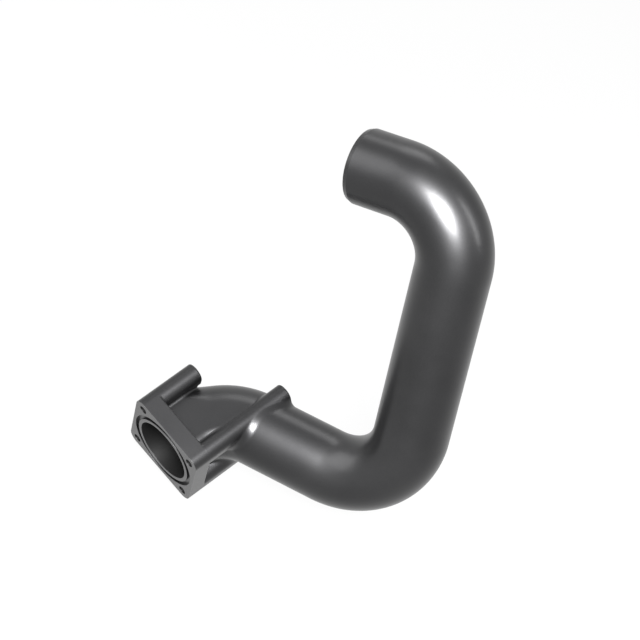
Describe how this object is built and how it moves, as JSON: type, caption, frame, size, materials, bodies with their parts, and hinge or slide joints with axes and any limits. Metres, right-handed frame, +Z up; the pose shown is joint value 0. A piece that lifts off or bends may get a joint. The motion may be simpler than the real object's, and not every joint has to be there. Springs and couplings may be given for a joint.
{
  "type": "aftercooler elbow",
  "caption": "One-piece cast air elbow: a square bolted flange with long bolt columns leads into a round pipe that bends along, up a riser and back to a plain hose end.",
  "frame": {"origin": "centre of the flange bore, on the flange's machined face", "axes": "+Z up the long riser, +X along the lower run as seen from above, +Y away from the side that the flange faces"},
  "size_m": [0.376, 0.1809, 0.5196],
  "materials": {
    "cast_metal": "dark satin cast skin"
  },
  "bodies": {
    "root": {"elbow_casting": "cast_metal"}
  },
  "joints": []
}
